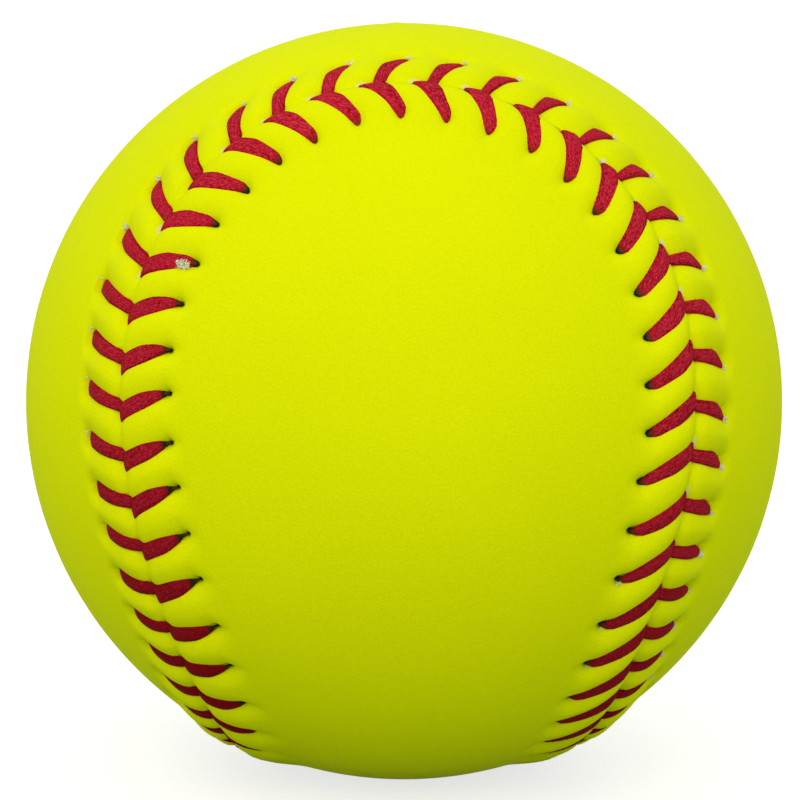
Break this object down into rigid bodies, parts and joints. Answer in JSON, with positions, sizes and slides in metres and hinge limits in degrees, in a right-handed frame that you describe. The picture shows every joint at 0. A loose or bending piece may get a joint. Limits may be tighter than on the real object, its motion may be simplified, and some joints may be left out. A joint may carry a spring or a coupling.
{
  "type": "softball",
  "caption": "Softball with a solid moulded core, a leather cover of two figure-eight panels, and a raised herringbone seam sewn with two threads.",
  "frame": {"origin": "centre of the ball", "axes": "+Z through the middle of the side panel's waist, an axis about which a quarter turn and a turn over swap the two cover panels; -Y through the front lobe of the front panel, towards the picture's camera"},
  "size_m": [0.089, 0.089, 0.089],
  "materials": {
    "core_foam": "moulded polyurethane foam",
    "cover_leather": "matte optic yellow with a fine grain",
    "seam_thread": "crimson waxed thread"
  },
  "bodies": {
    "root": {"core": "core_foam", "cover_panel_front": "cover_leather", "cover_panel_side": "cover_leather", "seam_thread_1": "seam_thread", "seam_thread_2": "seam_thread"}
  },
  "joints": []
}
